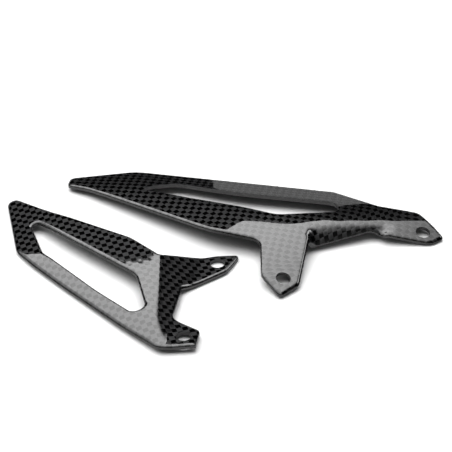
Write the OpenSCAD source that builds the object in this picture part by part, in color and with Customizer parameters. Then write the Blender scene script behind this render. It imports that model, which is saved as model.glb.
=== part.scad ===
// A set of two heel guard plates moulded from woven carbon fibre cloth, lying
// outer face up on a level surface. Each plate is a flat bar frame around one
// slot, with two ears that carry a screw hole each. Units are millimetres,
// +Z is up and Z = 0 is the surface that the plates rest on.

/* [Layup] */
// Clear lacquer over the outer cloth
coat = 0.1; // [0.05:0.05:0.2]
// Outer and inner plies of fine cloth, each
fine_ply = 0.25; // [0.2:0.05:0.3]
// The two middle plies of heavy cloth, each
heavy_ply = 0.45; // [0.35:0.05:0.6]

/* [Holes] */
// Bore of the screw holes, clearance for an M5 screw
hole_d = 5.5; // [5.2:0.1:6.6]

/* [Bends] */
// Outer radius of the small plate's step from bar frame to ears
step_r = 7; // [6:1:8]
// Outer radius of the slow bend at the small plate's tail
tail_r = 60; // [50:5:70]
// Outer radius of the bends along the small plate's near bar
near_r = 30; // [25:5:35]
// Outer radius of the large plate's crown beside the slot
crown_r = 60; // [50:5:70]
// Outer radius of the bend from the large plate's frame to its ears
ear_bend_r = 80; // [76:2:84]

/* [Node] */
// Which sub-part to draw

/* [Hidden] */
$fn = 96;

// depth of each layer boundary below the outer face
face_top = coat;
upper_top = face_top + fine_ply;
lower_top = upper_top + heavy_ply;
back_top = lower_top + heavy_ply;
sheet = back_top + fine_ply;

// from the drawing's zero to the set's middle in plan, and up to the lowest
// point of each plate, which comes to rest at Z = 0
large_origin = [-1.230, -21.699, 0.378];
small_origin = [-1.230, -21.699, 0.6032];
// a size larger than either plate, for half spaces and cutters
reach = 400;
// the turn from one point to the next along a rounded corner
arc_step = 8;
// how far an arc stands off its tangent planes, so that they cross cleanly
lap = 0.004;

coat_colour = [0.80, 0.82, 0.84, 0.35];
fine_colour = [0.13, 0.13, 0.14];
heavy_colour = [0.20, 0.20, 0.21];
back_colour = [0.16, 0.16, 0.17];

function unit(v) = v / norm(v);

// a plane through a point, rising by a per mm of X and by b per mm of Y
function plane(p, a, b) = [p, unit([-a, -b, 1])];
function lowered(pl, depth) = [pl[0] - depth * pl[1], pl[1]];

// the large plate's flats
frame_left = plane([3, -8, 8.4], 0.07, 0);
frame_right = plane([3, -8, 8.4], 0, 0.07);
far_bar = plane([28, 22.9, 2.2], -0.053, -0.28);
far_tip = plane([-33.7, 35.1, 2.1], 0.046, -0.24);
large_ears = plane([21.5, -46.9, 2], -0.14, 0.228);
// the pressed-down facet in the web between the ears, and its end walls
web_facet = plane([31.4, -13, 7.2], -0.237, 0.872);
web_wall = plane([31.1, -13, 7.9], -3, 0.15);
web_end = plane([61.4, -7.6, 5.36], 0.513, -0.091);

// the small plate's flats
frame = plane([-23.5, -28.4, 8], 0.06, 0.05);
tail = plane([-62, -8, 6.71], 0.25, 0.06);
near_bar = plane([-59.6, -41.2, 2.45], 0.3, 0.265);
step = plane([-24, -28.4, 8], -0.4, 0.065);
small_ears = plane([-3, -27.5, 2.4], 0.03, -0.035);

// hole middles in plan
large_holes = [[20.6, -38.5], [73.3, -8.9]];
small_holes = [[-3.1, -26.9], [-14.6, -71.1]];

// corners of each outline, in order, as x, y and corner radius
large_corners = [
    [-61.2, 22.9, 2.6], [-60.6, 29.7, 3], [-36, 34.2, 15], [41.6, 20.0, 4],
    [57.6, 6.2, 8], [72.6, 2.6, 4], [81.2, -10.2, 1.5], [76.2, -13.8, 6],
    [59, -12.1, 1], [55.2, -9, 5], [30.6, -17.9, 4.5], [26.4, -40.3, 4],
    [19.3, -46.7, 1.4], [12.7, -37.8, 6], [12.4, -19.2, 4], [-6, -13.1, 30],
    [-54, 19.6, 20]
];
large_slot = [
    [-32.2, 16.2, 1], [-28.2, 19.1, 4], [-18.6, 21.2, 8], [3, 14.0, 100],
    [41.4, 7.6, 4], [42.8, -1.6, 3.4], [19, -4.5, 12]
];
small_corners = [
    [-84.5, 17.5, 2.5], [-65.2, 0.6, 60], [-34.9, -17.6, 15],
    [-24.2, -28.4, 2.5], [-4.5, -21.5, 15], [5.2, -21.3, 1.3],
    [2.9, -26.6, 12], [0.2, -31.6, 4], [-15.6, -43.3, 2.5], [-18.8, -60.4, 3],
    [-9, -67.7, 2], [-10.4, -76.4, 0.8], [-23.4, -77.5, 5],
    [-36.2, -65.1, 150], [-59.2, -40.6, 150], [-71.7, -26.6, 60],
    [-77.2, -19.1, 8]
];
small_slot = [
    [-74.8, 0.6, 1.8], [-60, -14.3, 60], [-32.4, -38.8, 7],
    [-26.1, -66.4, 3.4], [-46.1, -46.3, 100], [-67.3, -22.4, 10]
];

// move to a frame given by its origin and three unit axes
module basis(o, x, y, z) {
    multmatrix([
        [x[0], y[0], z[0], o[0]],
        [x[1], y[1], z[1], o[1]],
        [x[2], y[2], z[2], o[2]],
        [0, 0, 0, 1]
    ]) children();
}

// everything below a plane, down past the lowest point
module below(pl) {
    x = unit(cross([0, 1, 0], pl[1]));
    basis(pl[0], x, cross(pl[1], x), pl[1])
        translate([-reach / 2, -reach / 2, -reach / 4])
            cube([reach, reach, reach / 4]);
}

// the nearest point to the origin on the line where two planes meet
function meeting_point(p, q) =
    let (c = p[1] * q[1], hp = p[0] * p[1], hq = q[0] * q[1])
    ((hp - hq * c) * p[1] + (hq - hp * c) * q[1]) / (1 - c * c);

// the axes of that line: across it, up between the planes, and along it
function meeting_axes(p, q) =
    let (along = unit(cross(p[1], q[1])), up = unit(p[1] + q[1]))
    [cross(up, along), up, along];

// what a ridge between two planes loses when it is rounded to a radius
module ridge_cut(p, q, r) {
    axes = meeting_axes(p, q);
    half = acos(p[1] * q[1]) / 2;
    side = r * sin(half);
    foot = r * cos(half) - r / cos(half);
    basis(meeting_point(p, q), axes[0], axes[1], axes[2])
        difference() {
            translate([-side, foot - lap, -reach / 2])
                cube([2 * side, 20, reach]);
            translate([0, lap - r / cos(half), -reach / 2 - 1])
                cylinder(r = r, h = reach + 2);
        }
}

// what a valley between two planes gains when it is filled to a radius
module valley_fill(p, q, r) {
    axes = meeting_axes(p, q);
    half = acos(p[1] * q[1]) / 2;
    side = r * sin(half);
    top = r / cos(half) - r * cos(half);
    basis(meeting_point(p, q), axes[0], axes[1], axes[2])
        difference() {
            translate([-side, -1, -reach / 4])
                cube([2 * side, top + 1 + lap, reach / 2]);
            translate([0, r / cos(half) - lap, -reach / 4 - 1])
                cylinder(r = r, h = reach / 2 + 2);
        }
}

// all that lies under the large plate's shape, taken in by a depth
module under_large(depth) {
    left = lowered(frame_left, depth);
    right = lowered(frame_right, depth);
    bar = lowered(far_bar, depth);
    tip = lowered(far_tip, depth);
    ears = lowered(large_ears, depth);
    intersection() {
        difference() {
            intersection() {
                below(left);
                below(right);
                below(bar);
                below(tip);
                below(ears);
            }
            ridge_cut(left, right, crown_r - depth);
            ridge_cut(left, bar, crown_r - depth);
            ridge_cut(left, tip, crown_r - depth);
            ridge_cut(bar, tip, crown_r - depth);
            ridge_cut(right, bar, crown_r - depth);
            ridge_cut(right, ears, ear_bend_r - depth);
            ridge_cut(ears, bar, ear_bend_r / 2 - depth);
        }
        union() {
            below(lowered(web_facet, depth));
            below(lowered(web_wall, depth));
            below(lowered(web_end, depth));
        }
    }
}

// all that lies under the small plate's shape, taken in by a depth
module under_small(depth) {
    top = lowered(frame, depth);
    end = lowered(tail, depth);
    low = lowered(near_bar, depth);
    ramp = lowered(step, depth);
    ears = lowered(small_ears, depth);
    union() {
        difference() {
            intersection() {
                below(top);
                below(end);
                below(low);
                below(ramp);
            }
            ridge_cut(top, ramp, step_r - depth);
            ridge_cut(low, ramp, step_r - depth);
            ridge_cut(end, top, tail_r - depth);
            ridge_cut(low, top, near_r - depth);
            ridge_cut(low, end, near_r - depth);
        }
        below(ears);
        valley_fill(ramp, ears, step_r + depth);
    }
}

// one rounded corner of an outline, as points along its arc
function rounded(c, i) =
    let (
        n = len(c), v = [c[i][0], c[i][1]], r = c[i][2],
        before = c[(i + n - 1) % n], after = c[(i + 1) % n],
        u = unit([before[0], before[1]] - v),
        w = unit([after[0], after[1]] - v),
        half = acos(u * w) / 2,
        middle = v + unit(u + w) * r / sin(half),
        turn = u[0] * w[1] - u[1] * w[0] > 0 ? -1 : 1,
        start = v + u * r / tan(half) - middle,
        first = atan2(start[1], start[0]),
        sweep = turn * (180 - 2 * half),
        steps = ceil(abs(sweep) / arc_step)
    )
    [for (k = [0 : steps]) middle + r * [cos(first + sweep * k / steps), sin(first + sweep * k / steps)]];

// an outline from its corners, listed clockwise
module outline(c) {
    polygon([for (i = [0 : len(c) - 1]) each rounded(c, i)]);
}

// a plate's plan shape with its slot, as a tall block
module plan_block(corners, slot) {
    translate([0, 0, -5])
        linear_extrude(25)
            difference() {
                outline(corners);
                outline(slot);
            }
}

// screw holes square to the ears that they pass through
module bores(ears, holes) {
    n = ears[1];
    x = unit(cross([0, 1, 0], n));
    for (h = holes) {
        z = ears[0][2] - (n[0] * (h[0] - ears[0][0]) + n[1] * (h[1] - ears[0][1])) / n[2];
        basis([h[0], h[1], z], x, cross(n, x), n)
            translate([0, 0, -10])
                cylinder(d = hole_d, h = 20);
    }
}

// one layer of the large plate, between two depths below its outer face
module large_layer(from, to) {
    translate(-large_origin)
        difference() {
            intersection() {
                difference() {
                    under_large(from);
                    under_large(to);
                }
                plan_block(large_corners, large_slot);
            }
            bores(large_ears, large_holes);
        }
}

// one layer of the small plate, between two depths below its outer face
module small_layer(from, to) {
    translate(-small_origin)
        difference() {
            intersection() {
                difference() {
                    under_small(from);
                    under_small(to);
                }
                plan_block(small_corners, small_slot);
            }
            bores(small_ears, small_holes);
        }
}

module large_clear_coat() color(coat_colour) large_layer(0, face_top);
module large_face_ply() color(fine_colour) large_layer(face_top, upper_top);
module large_upper_core_ply() color(heavy_colour) large_layer(upper_top, lower_top);
module large_lower_core_ply() color(heavy_colour) large_layer(lower_top, back_top);
module large_back_ply() color(back_colour) large_layer(back_top, sheet);
module small_clear_coat() color(coat_colour) small_layer(0, face_top);
module small_face_ply() color(fine_colour) small_layer(face_top, upper_top);
module small_upper_core_ply() color(heavy_colour) small_layer(upper_top, lower_top);
module small_lower_core_ply() color(heavy_colour) small_layer(lower_top, back_top);
module small_back_ply() color(back_colour) small_layer(back_top, sheet);

large_clear_coat();
large_face_ply();
large_upper_core_ply();
large_lower_core_ply();
large_back_ply();
small_clear_coat();
small_face_ply();
small_upper_core_ply();
small_lower_core_ply();
small_back_ply();
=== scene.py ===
"""Two moulded carbon fibre heel guards, lying outer face up on a white table."""
import math

import bpy
import numpy as np
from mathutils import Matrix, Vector
from mathutils.geometry import delaunay_2d_cdt

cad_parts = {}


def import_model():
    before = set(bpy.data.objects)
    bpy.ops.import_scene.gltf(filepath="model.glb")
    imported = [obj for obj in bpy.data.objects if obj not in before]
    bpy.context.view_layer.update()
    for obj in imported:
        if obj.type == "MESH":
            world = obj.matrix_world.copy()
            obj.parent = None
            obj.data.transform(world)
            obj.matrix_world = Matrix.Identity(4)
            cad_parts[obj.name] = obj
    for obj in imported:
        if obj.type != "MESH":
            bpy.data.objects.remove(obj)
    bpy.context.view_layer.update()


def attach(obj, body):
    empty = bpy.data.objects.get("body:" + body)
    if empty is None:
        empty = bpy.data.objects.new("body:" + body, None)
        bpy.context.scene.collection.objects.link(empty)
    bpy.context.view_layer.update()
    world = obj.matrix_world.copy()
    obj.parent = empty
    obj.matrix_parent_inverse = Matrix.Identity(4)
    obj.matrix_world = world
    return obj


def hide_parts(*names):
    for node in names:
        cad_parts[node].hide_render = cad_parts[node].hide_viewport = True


MM = 0.001
SHEET = 1.5          # thickness of each plate, mm
HOLE_R = 2.75        # screw hole radius, mm
STEP_R = 7           # bends from the small plate's frame to its ears, mm
TAIL_R = 60          # bend at the small plate's tail, mm
NEAR_R = 30          # bends along the small plate's near bar, mm
CROWN_R = 60         # bends beside the large plate's slot, mm
EAR_BEND_R = 80      # bend from the large plate's frame to its ears, mm
RIPPLE = 0.0007       # how far the lacquer follows each tow's swell, mm
TOW = 2.0            # pitch of the cloth's tows, mm
ROUND_WIDE = 1.2     # how far the rounded edge reaches in from the outline, mm
ROUND_DEEP = 0.7     # how far it drops there, mm
PITCH = 0.5          # spacing of the height maps, mm
SOFTNESS = 0.9       # spread of the softening of the height maps, mm
EDGE_STEP = 1.0      # longest step along an outline, mm
ARC_TURN = 9.0       # largest turn from one outline point to the next, degrees
INSETS = (0.05, 0.15, 0.35, 0.65, 0.95, 1.25, 2.0)
GRID = 1.6           # spacing of the points inside, mm
MOST_LEAN = 0.42     # limit of how far a cut edge leans per mm of depth


# ---------------------------------------------------------------- shape
def unit(v):
    return np.array(v, float) / np.linalg.norm(v)


class Flat:
    """A plane through a point, rising by a per mm of X and by b per mm of Y."""

    def __init__(self, point, a, b):
        self.point = np.array(point, float)
        self.a = a
        self.b = b
        self.normal = unit([-a, -b, 1])

    def lowered(self, depth):
        return Flat(self.point - depth * self.normal, self.a, self.b)

    def height(self, x, y):
        return self.point[2] + self.a * (x - self.point[0]) + self.b * (y - self.point[1])


def rounded_fold(z, x, y, p, q, r, valley=False):
    """Heights z with the fold between two flats turned on a radius."""
    side = 1 if valley else -1
    cos_full = p.normal @ q.normal
    half = math.acos(cos_full) / 2
    hp = p.normal @ p.point
    hq = q.normal @ q.point
    meeting = ((hp - hq * cos_full) * p.normal + (hq - hp * cos_full) * q.normal) / (1 - cos_full ** 2)
    along = unit(np.cross(p.normal, q.normal))
    up = unit(p.normal + q.normal)
    across = np.cross(up, along)
    axis = meeting + side * up * r / math.cos(half)
    start = np.stack([x - axis[0], y - axis[1], np.full_like(x, -axis[2])], -1)
    start = start - (start @ along)[..., None] * along
    climb = np.array([0, 0, 1.0]) - along[2] * along
    aa = climb @ climb
    bb = start @ climb
    root = bb * bb - aa * ((start ** 2).sum(-1) - r * r)
    arc = (-bb - side * np.sqrt(np.maximum(root, 0))) / aa
    offset = (np.stack([x, y, arc], -1) - meeting) @ across
    on_arc = (root >= 0) & (abs(offset) <= r * math.sin(half) + 1e-9)
    turned = np.maximum(z, arc) if valley else np.minimum(z, arc)
    return np.where(on_arc, turned, z)


def large_height(x, y, depth):
    """The large plate's surface at a depth below its outer face."""
    left, right, bar, tip, ears, facet, wall, end = (f.lowered(depth) for f in LARGE_FLATS)
    z = np.minimum.reduce([f.height(x, y) for f in (left, right, bar, tip, ears)])
    for p, q in ((left, right), (left, bar), (left, tip), (bar, tip), (right, bar)):
        z = rounded_fold(z, x, y, p, q, CROWN_R - depth)
    z = rounded_fold(z, x, y, right, ears, EAR_BEND_R - depth)
    z = rounded_fold(z, x, y, ears, bar, EAR_BEND_R / 2 - depth)
    dent = np.maximum.reduce([f.height(x, y) for f in (facet, wall, end)])
    return np.minimum(z, dent)


def small_height(x, y, depth):
    """The small plate's surface at a depth below its outer face."""
    frame, tail, near, step, ears = (f.lowered(depth) for f in SMALL_FLATS)
    z = np.minimum.reduce([f.height(x, y) for f in (frame, tail, near, step)])
    z = rounded_fold(z, x, y, frame, step, STEP_R - depth)
    z = rounded_fold(z, x, y, near, step, STEP_R - depth)
    z = rounded_fold(z, x, y, tail, frame, TAIL_R - depth)
    z = rounded_fold(z, x, y, near, frame, NEAR_R - depth)
    z = rounded_fold(z, x, y, near, tail, NEAR_R - depth)
    z = np.maximum(z, ears.height(x, y))
    return rounded_fold(z, x, y, step, ears, STEP_R + depth, valley=True)


LARGE_FLATS = (
    Flat((3, -8, 8.4), 0.07, 0), Flat((3, -8, 8.4), 0, 0.07),
    Flat((28, 22.9, 2.2), -0.053, -0.28), Flat((-33.7, 35.1, 2.1), 0.046, -0.24),
    Flat((21.5, -46.9, 2), -0.14, 0.228), Flat((31.4, -13, 7.2), -0.237, 0.872),
    Flat((31.1, -13, 7.9), -3, 0.15), Flat((61.4, -7.6, 5.36), 0.513, -0.091),
)
SMALL_FLATS = (
    Flat((-23.5, -28.4, 8), 0.06, 0.05), Flat((-62, -8, 6.71), 0.25, 0.06),
    Flat((-59.6, -41.2, 2.45), 0.3, 0.265), Flat((-24, -28.4, 8), -0.4, 0.065),
    Flat((-3, -27.5, 2.4), 0.03, -0.035),
)
# corners of each outline, clockwise, as x, y and corner radius in mm
LARGE = {
    "height": large_height, "ears": LARGE_FLATS[4], "origin": (-1.230, -21.699, 0.378),
    "tows": 34.0, "rounded_slot": False, "holes": ((20.6, -38.5), (73.3, -8.9)),
    "outline": (
        (-61.2, 22.9, 2.6), (-60.6, 29.7, 3), (-36, 34.2, 15), (41.6, 20.0, 4), (57.6, 6.2, 8),
        (72.6, 2.6, 4), (81.2, -10.2, 1.5), (76.2, -13.8, 6), (59, -12.1, 1), (55.2, -9, 5),
        (30.6, -17.9, 4.5), (26.4, -40.3, 4), (19.3, -46.7, 1.4), (12.7, -37.8, 6),
        (12.4, -19.2, 4), (-6, -13.1, 30), (-54, 19.6, 20)),
    "slot": (
        (-32.2, 16.2, 1), (-28.2, 19.1, 4), (-18.6, 21.2, 8), (3, 14.0, 100), (41.4, 7.6, 4),
        (42.8, -1.6, 3.4), (19, -4.5, 12)),
}
SMALL = {
    "height": small_height, "ears": SMALL_FLATS[4], "origin": (-1.230, -21.699, 0.6032),
    "tows": 17.0, "rounded_slot": True, "holes": ((-3.1, -26.9), (-14.6, -71.1)),
    "outline": (
        (-84.5, 17.5, 2.5), (-65.2, 0.6, 60), (-34.9, -17.6, 15), (-24.2, -28.4, 2.5),
        (-4.5, -21.5, 15), (5.2, -21.3, 1.3), (2.9, -26.6, 12), (0.2, -31.6, 4),
        (-15.6, -43.3, 2.5), (-18.8, -60.4, 3), (-9, -67.7, 2), (-10.4, -76.4, 0.8),
        (-23.4, -77.5, 5), (-36.2, -65.1, 150), (-59.2, -40.6, 150), (-71.7, -26.6, 60),
        (-77.2, -19.1, 8)),
    "slot": (
        (-74.8, 0.6, 1.8), (-60, -14.3, 60), (-32.4, -38.8, 7), (-26.1, -66.4, 3.4),
        (-46.1, -46.3, 100), (-67.3, -22.4, 10)),
}


class Relief:
    """A softened height map of one surface of a plate, with its slopes."""

    def __init__(self, plate, depth):
        corners = np.array(plate["outline"])[:, :2]
        self.low = corners.min(0) - 6
        count = np.ceil((corners.max(0) + 6 - self.low) / PITCH).astype(int)
        axes = [self.low[i] + PITCH * np.arange(count[i]) for i in (0, 1)]
        self.z = soften(plate["height"](*np.meshgrid(*axes, indexing="ij"), depth))
        self.slope_x, self.slope_y = np.gradient(self.z, PITCH)

    def read(self, field, xy):
        """A field of the map between its points."""
        last = np.array(field.shape) - 1.001
        at = np.clip((xy - self.low) / PITCH, 0, last)
        i, j = at.astype(int).T
        s, t = (at - at.astype(int)).T
        near = field[i, j] * (1 - t) + field[i, j + 1] * t
        far = field[i + 1, j] * (1 - t) + field[i + 1, j + 1] * t
        return near * (1 - s) + far * s


def soften(z):
    """Blurs a height map, so that folds and dents have soft shoulders."""
    reach = math.ceil(3 * SOFTNESS / PITCH)
    kernel = np.exp(-0.5 * (np.arange(-reach, reach + 1) * PITCH / SOFTNESS) ** 2)
    kernel /= kernel.sum()

    def blur(row):
        return np.convolve(np.pad(row, reach, mode="edge"), kernel, "valid")

    return np.apply_along_axis(blur, 1, np.apply_along_axis(blur, 0, z))


# ---------------------------------------------------------------- plan
def corner_arc(corners, i):
    """Points along one rounded corner of an outline."""
    v = np.array(corners[i][:2], float)
    r = corners[i][2]
    u = unit(np.array(corners[i - 1][:2]) - v)
    w = unit(np.array(corners[(i + 1) % len(corners)][:2]) - v)
    half = math.acos(u @ w) / 2
    middle = v + unit(u + w) * r / math.sin(half)
    turn = -1 if u[0] * w[1] - u[1] * w[0] > 0 else 1
    start = v + u * r / math.tan(half) - middle
    first = math.atan2(start[1], start[0])
    sweep = turn * (math.pi - 2 * half)
    steps = max(2, math.ceil(abs(math.degrees(sweep)) / ARC_TURN))
    angles = first + sweep * np.arange(steps + 1) / steps
    return middle + r * np.stack([np.cos(angles), np.sin(angles)], -1)


def outline_loop(corners):
    """A closed outline with evenly spread points."""
    raw = np.concatenate([corner_arc(corners, i) for i in range(len(corners))])
    loop = []
    for p, q in zip(raw, np.roll(raw, -1, axis=0)):
        count = max(1, math.ceil(np.linalg.norm(q - p) / EDGE_STEP))
        loop += [p + (q - p) * k / count for k in range(count)]
    return np.array(loop)


def hole_loop(plate, centre):
    """A screw hole, square to the ears, as it looks in plan."""
    n = plate["ears"].normal
    across = unit(np.cross([0, 1, 0], n))
    along = np.cross(n, across)
    turn = np.linspace(0, 2 * math.pi, 40, endpoint=False)[:, None]
    return np.array(centre) + HOLE_R * (np.cos(turn) * across[:2] + np.sin(turn) * along[:2])


def edge_distance(xy, loops):
    """The distance to the nearest edge, and the direction away from it."""
    starts = np.concatenate(loops)
    ends = np.concatenate([np.roll(loop, -1, axis=0) for loop in loops])
    run = ends - starts
    length2 = (run ** 2).sum(-1)
    distance = np.empty(len(xy))
    away = np.empty((len(xy), 2))
    for k in range(0, len(xy), 1000):
        part = xy[k:k + 1000, None, :]
        t = np.clip(((part - starts) * run).sum(-1) / length2, 0, 1)
        gap = part - starts - t[..., None] * run
        size = np.sqrt((gap ** 2).sum(-1))
        best = size.argmin(1)
        rows = np.arange(len(best))
        distance[k:k + 1000] = size[rows, best]
        away[k:k + 1000] = gap[rows, best] / np.maximum(size[rows, best], 1e-9)[:, None]
    return distance, away


def inside(xy, loop):
    """Whether each point is inside a closed loop."""
    a = loop
    b = np.roll(loop, -1, axis=0)
    x, y = xy[:, :1], xy[:, 1:]
    crosses = (a[:, 1] > y) != (b[:, 1] > y)
    with np.errstate(divide="ignore", invalid="ignore"):
        at = a[:, 0] + (y - a[:, 1]) * (b[:, 0] - a[:, 0]) / (b[:, 1] - a[:, 1])
    return (crosses & (x < at)).sum(1) % 2 == 1


def on_plate(xy, loops):
    keep = inside(xy, loops[0])
    for hole in loops[1:]:
        keep &= ~inside(xy, hole)
    return keep


def spread_points(loops):
    """Points of the triangle mesh: the edges, rows set in from them, and a grid."""
    rows = []
    for loop in loops:
        run = np.roll(loop, -1, axis=0) - np.roll(loop, 1, axis=0)
        side = np.stack([run[:, 1], -run[:, 0]], -1) / np.linalg.norm(run, axis=1)[:, None]
        for inset in INSETS:
            for sign in (-1, 1):
                row = loop + sign * inset * side
                clear = edge_distance(row, loops)[0] > 0.97 * inset
                rows.append(row[clear & on_plate(row, loops)])
    low, high = loops[0].min(0), loops[0].max(0)
    x, y = np.meshgrid(np.arange(low[0], high[0], GRID), np.arange(low[1], high[1], GRID))
    x[::2] += GRID / 2
    grid = np.stack([x.ravel(), y.ravel()], -1)
    grid = grid[on_plate(grid, loops)]
    rows.append(grid[edge_distance(grid, loops)[0] > INSETS[-1] + 0.6])
    return np.concatenate(list(loops) + rows)


class Plan:
    """A plate's triangles in plan, with the distance of each point from the edge."""

    def __init__(self, plate):
        loops = [outline_loop(plate["outline"]), outline_loop(plate["slot"])]
        loops += [hole_loop(plate, h) for h in plate["holes"]]
        points = spread_points(loops)
        edges = []
        first = 0
        for loop in loops:
            n = len(loop)
            edges += [(first + k, first + (k + 1) % n) for k in range(n)]
            first += n
        made = delaunay_2d_cdt([Vector(p) for p in points], edges, [], 0, 1e-5)
        self.xy = np.array([tuple(v) for v in made[0]])
        tris = np.array([f for f in made[2] if len(f) == 3])
        tris = tris[on_plate(self.xy[tris].mean(1), loops)]
        a, b, c = (self.xy[tris[:, k]] for k in range(3))
        area = (b[:, 0] - a[:, 0]) * (c[:, 1] - a[:, 1]) - (b[:, 1] - a[:, 1]) * (c[:, 0] - a[:, 0])
        tris[area < 0] = tris[area < 0][:, ::-1]
        used = np.unique(tris)
        renumber = np.full(len(self.xy), -1)
        renumber[used] = np.arange(len(used))
        self.xy = self.xy[used]
        self.tris = renumber[tris]
        self.rim = rim_edges(self.tris)
        rounded = loops[:2] if plate["rounded_slot"] else loops[:1]
        self.cut_distance = edge_distance(self.xy, loops)[0]
        self.distance = edge_distance(self.xy, rounded)[0]
        self.inward = edge_distance(self.xy, loops[:2])[1]
        self.set_rim_direction()

    def set_rim_direction(self):
        """On the rim itself, inward is square to the edges on either side."""
        a, b = self.rim.T
        run = self.xy[b] - self.xy[a]
        left = np.stack([-run[:, 1], run[:, 0]], -1)
        total = np.zeros_like(self.xy)
        np.add.at(total, a, left)
        np.add.at(total, b, left)
        on_rim = np.unique(self.rim)
        self.inward[on_rim] = total[on_rim] / np.linalg.norm(total[on_rim], axis=1)[:, None]


    def set_lean(self, relief):
        """How far each point near an edge moves per mm of depth, as edges are cut square to the sheet."""
        slope = np.stack([relief.read(relief.slope_x, self.xy), relief.read(relief.slope_y, self.xy)], -1)
        steep = np.linalg.norm(slope, axis=1)
        size = np.minimum(steep / np.sqrt(1 + steep ** 2), MOST_LEAN)
        fade = np.clip(1.5 - self.cut_distance / 2, 0, 1)
        self.lean = slope * (fade * size / np.maximum(steep, 1e-9))[:, None]


def rim_edges(tris):
    """Edges that only one triangle has, with the plate on their left."""
    edges = np.concatenate([tris[:, [0, 1]], tris[:, [1, 2]], tris[:, [2, 0]]])
    seen = {tuple(e) for e in edges}
    return np.array([e for e in seen if (e[1], e[0]) not in seen])


# ---------------------------------------------------------------- meshes
def edge_drop(distance):
    """How far the rounded edge drops, and how fast it rises inwards."""
    t = np.clip(1 - distance / ROUND_WIDE, 0, 0.999)
    drop = ROUND_DEEP * (1 - np.sqrt(1 - t * t))
    rise = ROUND_DEEP / ROUND_WIDE * t / np.sqrt(1 - t * t)
    return drop, rise


def surface(plate, plan, relief, depth):
    """Points, normals and plan positions of a plate at a depth below its outer face."""
    xy = plan.xy + depth * plan.lean
    drop, rise = edge_drop(plan.distance)
    share = (SHEET - depth) / SHEET
    z = relief.read(relief.z, xy) - share * drop
    slope = np.stack([relief.read(relief.slope_x, xy), relief.read(relief.slope_y, xy)], -1)
    slope = slope + share * rise[:, None] * plan.inward
    normals = np.concatenate([-slope, np.ones((len(xy), 1))], 1)
    normals /= np.linalg.norm(normals, axis=1)[:, None]
    points = np.concatenate([xy, z[:, None]], 1) - np.array(plate["origin"])
    return points * MM, normals


def tow_lengths(plate, plan, relief):
    """How many tows each point lies from the plate's middle, both ways of the cloth."""
    middle = np.array(plate["outline"])[:, :2].mean(0)
    turn = math.radians(plate["tows"])
    result = []
    for along in (np.array([math.cos(turn), math.sin(turn)]), np.array([-math.sin(turn), math.cos(turn)])):
        flat = (plan.xy - middle) @ along
        total = np.zeros(len(flat))
        steps = 40
        for k in range(steps):
            at = plan.xy - (flat * (k + 0.5) / steps)[:, None] * along
            slope = relief.read(relief.slope_x, at) * along[0] + relief.read(relief.slope_y, at) * along[1]
            total += flat / steps * np.sqrt(1 + slope ** 2)
        result.append(total / TOW)
    return np.stack(result, -1)


def layer(name, plan, top, bottom, uv, face, edge):
    """One closed piece between two surfaces, with a wall round every edge."""
    count = len(plan.xy)
    tris = plan.tris
    rim = plan.rim
    walls = np.stack([rim[:, 1], rim[:, 0], rim[:, 0] + count, rim[:, 1] + count], -1)
    faces = [tuple(t) for t in tris] + [tuple(t) for t in tris[:, ::-1] + count] + [tuple(w) for w in walls]
    mesh = bpy.data.meshes.new(name)
    mesh.from_pydata(np.concatenate([top[0], bottom[0]]).tolist(), [], faces)
    outward = np.concatenate([-plan.inward, np.zeros((count, 1))], 1)
    loops = [top[1][tris.ravel()], -bottom[1][tris[:, ::-1].ravel()], outward[(walls % count).ravel()]]
    corners = np.concatenate([tris.ravel(), tris[:, ::-1].ravel(), (walls % count).ravel()])
    mesh.polygons.foreach_set("use_smooth", [True] * len(faces))
    mesh.polygons.foreach_set("material_index", [0] * (2 * len(tris)) + [1] * len(walls))
    mesh.uv_layers.new(name="weave").data.foreach_set("uv", uv[corners].ravel())
    mesh.materials.append(face)
    mesh.materials.append(edge)
    mesh.update()
    mesh.normals_split_custom_set(np.concatenate(loops).tolist())
    obj = bpy.data.objects.new(name, mesh)
    bpy.context.collection.objects.link(obj)
    return obj


def build_plate(prefix, plate, looks):
    """The pieces of one plate, from the lacquered face down to the back ply."""
    plan = Plan(plate)
    depths = (0, 0.35, 0.8, 1.25, SHEET)
    reliefs = [Relief(plate, d) for d in depths]
    plan.set_lean(reliefs[0])
    levels = [surface(plate, plan, r, d) for r, d in zip(reliefs, depths)]
    uv = tow_lengths(plate, plan, reliefs[0])
    parts = (
        ("face_skin", "carbon_weave", looks["face"], ("clear_coat", "face_ply")),
        ("upper_core", "carbon_core", looks["core"], ("upper_core_ply",)),
        ("lower_core", "carbon_core", looks["core"], ("lower_core_ply",)),
        ("back_skin", "carbon_back", looks["back"], ("back_ply",)),
    )
    for k, (label, slot, look, nodes) in enumerate(parts):
        name = prefix + "_" + label
        obj = layer(name, plan, levels[k], levels[k + 1], uv, look, looks["edge"])
        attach(obj, "root")
        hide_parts(*[prefix + "_" + n for n in nodes])


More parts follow.
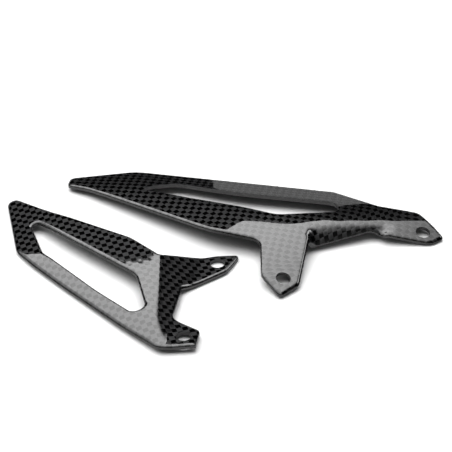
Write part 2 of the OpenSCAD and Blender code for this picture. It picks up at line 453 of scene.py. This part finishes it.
# ---------------------------------------------------------------- looks
class Nodes:
    """A material's node tree, with short ways to add to it."""

    def __init__(self, name):
        self.material = bpy.data.materials.new(name)
        self.material.use_nodes = True
        self.tree = self.material.node_tree
        self.shader = self.tree.nodes["Principled BSDF"]

    def add(self, kind, **settings):
        node = self.tree.nodes.new(kind)
        for key, value in settings.items():
            setattr(node, key, value)
        return node

    def join(self, source, target):
        self.tree.links.new(source, target)

    def math(self, operation, *values):
        """One step of arithmetic on sockets and numbers."""
        node = self.add("ShaderNodeMath", operation=operation)
        for k, value in enumerate(values):
            if isinstance(value, (int, float)):
                node.inputs[k].default_value = value
            else:
                self.join(value, node.inputs[k])
        return node.outputs[0]

    def ramp(self, value, low, high):
        """0 below low, 1 above high, and smooth between."""
        node = self.add("ShaderNodeMapRange", interpolation_type="SMOOTHSTEP")
        self.join(value, node.inputs["Value"])
        node.inputs["From Min"].default_value = low
        node.inputs["From Max"].default_value = high
        return node.outputs["Result"]

    def mix(self, factor, a, b):
        """A colour between two colours."""
        node = self.add("ShaderNodeMix", data_type="RGBA")
        self.join(factor, node.inputs["Factor"])
        for value, socket in ((a, node.inputs["A"]), (b, node.inputs["B"])):
            if isinstance(value, tuple):
                socket.default_value = value
            else:
                self.join(value, socket)
        return node.outputs["Result"]

    def set(self, **values):
        for key, value in values.items():
            self.shader.inputs[key.replace("_", " ")].default_value = value


def grey(value):
    return (value, value, value * 1.02, 1)


def weave(name, tow, coat, crown):
    """Plain-weave carbon cloth: tows over and under each other, each shining across its fibres. Every other
    cell also has painted shade: its colour is made darker where its fibres run the other way.
    """
    m = Nodes(name)
    uv = m.add("ShaderNodeUVMap", uv_map="weave")
    parts = m.add("ShaderNodeSeparateXYZ")
    m.join(uv.outputs[0], parts.inputs[0])
    u, v = parts.outputs[0], parts.outputs[1]
    cells = m.math("ADD", m.math("FLOOR", u), m.math("FLOOR", v))
    across = m.math("ABSOLUTE", m.math("MODULO", cells, 2))
    m.join(m.math("MULTIPLY", m.math("SUBTRACT", 1, across), 0.25), m.shader.inputs["Anisotropic Rotation"])
    tangent = m.add("ShaderNodeTangent", direction_type="UV_MAP", uv_map="weave")
    m.join(tangent.outputs[0], m.shader.inputs["Tangent"])
    swell = m.math("MULTIPLY", m.math("SINE", m.math("MULTIPLY", u, math.pi)),
                   m.math("SINE", m.math("MULTIPLY", v, math.pi)))
    bump = m.add("ShaderNodeBump")
    bump.inputs["Distance"].default_value = crown * MM
    m.join(m.math("ABSOLUTE", swell), bump.inputs["Height"])
    m.join(bump.outputs[0], m.shader.inputs["Normal"])
    ripple = m.add("ShaderNodeBump")
    ripple.inputs["Distance"].default_value = RIPPLE * MM
    m.join(swell, ripple.inputs["Height"])
    m.join(ripple.outputs[0], m.shader.inputs["Coat Normal"])
    off_u = m.math("ABSOLUTE", m.math("SUBTRACT", m.math("FRACT", u), 0.5))
    off_v = m.math("ABSOLUTE", m.math("SUBTRACT", m.math("FRACT", v), 0.5))
    # painted shade: in the cores of the cells whose fibres run the other way, the colour is 30 times darker
    # and the specular tint greyer, standing in for the reflection those fibres miss
    patch = m.math("MULTIPLY", m.math("SUBTRACT", 1, m.ramp(off_u, 0.44, 0.5)),
                   m.math("SUBTRACT", 1, m.ramp(off_v, 0.42, 0.49)))
    dark = m.math("MULTIPLY", patch, across)
    m.join(m.mix(dark, grey(tow), grey(tow / 30)), m.shader.inputs["Base Color"])
    m.join(m.mix(dark, grey(0.5), grey(0.3)), m.shader.inputs["Specular Tint"])
    m.set(Metallic=1.0, Roughness=0.36, Anisotropic=0.9)
    m.set(Coat_Weight=coat, Coat_Roughness=0.02, Coat_IOR=1.5)
    return m.material


def plain(name, value, roughness):
    """A plain dark finish."""
    m = Nodes(name)
    m.set(Base_Color=grey(value), Roughness=roughness)
    return m.material


def glow(name, value):
    """A surface that gives off light evenly."""
    m = Nodes(name)
    m.set(Base_Color=(0, 0, 0, 1), Specular_IOR_Level=0, Emission_Color=(1, 1, 1, 1), Emission_Strength=value)
    return m.material


def softbox_look():
    """An even glow that fades towards the box's right end and a little towards its front."""
    m = Nodes("softbox_glow")
    parts = m.add("ShaderNodeSeparateXYZ")
    m.join(m.add("ShaderNodeTexCoord").outputs["Object"], parts.inputs[0])
    fade = m.math("SUBTRACT", 1, m.ramp(parts.outputs[0], 0.25, 0.6))
    front = m.math("ADD", 0.45, m.math("MULTIPLY", m.ramp(parts.outputs[1], -0.3, 0.5), 0.55))
    m.join(m.math("MULTIPLY", m.math("MULTIPLY", fade, front), 5.7), m.shader.inputs["Emission Strength"])
    m.set(Base_Color=(0, 0, 0, 1), Specular_IOR_Level=0, Emission_Color=(1, 1, 1, 1))
    return m.material


def table_look():
    """White table top that shows soft shadows and no edge."""
    m = Nodes("table_white")
    m.set(Base_Color=(0.75, 0.75, 0.75, 1), Roughness=1.0, Specular_IOR_Level=0)
    return m.material


# ---------------------------------------------------------------- studio
def ceiling_panel(name, x_range, y_range, height, material):
    """A level sheet that belongs to the studio, with its face down."""
    (left, right), (front, back) = x_range, y_range
    corners = [(left, back, height), (right, back, height), (right, front, height), (left, front, height)]
    return panel(name, corners, material)


def panel(name, corners, material):
    """A flat four-sided sheet that belongs to the studio."""
    mesh = bpy.data.meshes.new(name)
    mesh.from_pydata(corners, [], [(0, 1, 2, 3)])
    mesh.materials.append(material)
    obj = bpy.data.objects.new(name, mesh)
    bpy.context.collection.objects.link(obj)
    return obj


def room():
    """A dim room: a little light from the camera's side, hardly any from behind the plates."""
    world = bpy.data.worlds.new("studio")
    world.use_nodes = True
    tree = world.node_tree
    place = tree.nodes.new("ShaderNodeTexCoord")
    parts = tree.nodes.new("ShaderNodeSeparateXYZ")
    fade = tree.nodes.new("ShaderNodeMapRange")
    fade.inputs["From Min"].default_value = -0.2
    fade.inputs["From Max"].default_value = -0.9
    fade.inputs["To Min"].default_value = 0.01
    fade.inputs["To Max"].default_value = 0.3
    tree.links.new(place.outputs["Generated"], parts.inputs[0])
    tree.links.new(parts.outputs[1], fade.inputs["Value"])
    tree.links.new(fade.outputs[0], tree.nodes["Background"].inputs["Strength"])
    tree.nodes["Background"].inputs["Color"].default_value = (1, 1, 1, 1)
    bpy.context.scene.world = world


def studio():
    """White table, a big softbox overhead with a box on either side, and a dim card at the back."""
    panel("table", [(-4, -4, 0), (4, -4, 0), (4, 4, 0), (-4, 4, 0)], table_look())
    ceiling_panel("softbox", (-0.9, 0.6), (-0.42, 1.118), 1, softbox_look())
    ceiling_panel("left_box", (-2.2, -0.9), (-0.42, 1.118), 1, glow("left_glow", 2.5))
    ceiling_panel("right_box", (0.7, 1.15), (0.4, 1.1), 1, glow("right_glow", 7.0))
    card = [(0.045, 2.0, 0), (0.285, 2.0, 0), (0.2, 2.0, 0.9), (0.045, 2.0, 0.9)]
    panel("card", card, glow("card_glow", 0.45))
    room()
    bpy.context.scene.view_settings.view_transform = "Standard"


def camera():
    """The view the plates are shown from."""
    data = bpy.data.cameras.new("camera")
    data.lens = 155.3
    data.sensor_width = 36
    obj = bpy.data.objects.new("camera", data)
    obj.location = (0.001230, -0.580381, 0.421202)
    aim = Vector((0.001230, 0.021699, -0.000378)) - obj.location
    obj.rotation_euler = aim.to_track_quat("-Z", "Y").to_euler()
    bpy.context.collection.objects.link(obj)
    bpy.context.scene.camera = obj


def main():
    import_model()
    looks = {
        "face": weave("carbon_face", 0.024, 1.0, 0.05),
        "back": weave("carbon_back", 0.04, 0.0, 0.1),
        "core": plain("carbon_core", 0.03, 0.6),
        "edge": plain("cut_edge", 0.03, 0.45),
    }
    build_plate("large", LARGE, looks)
    build_plate("small", SMALL, looks)
    studio()
    camera()


main()
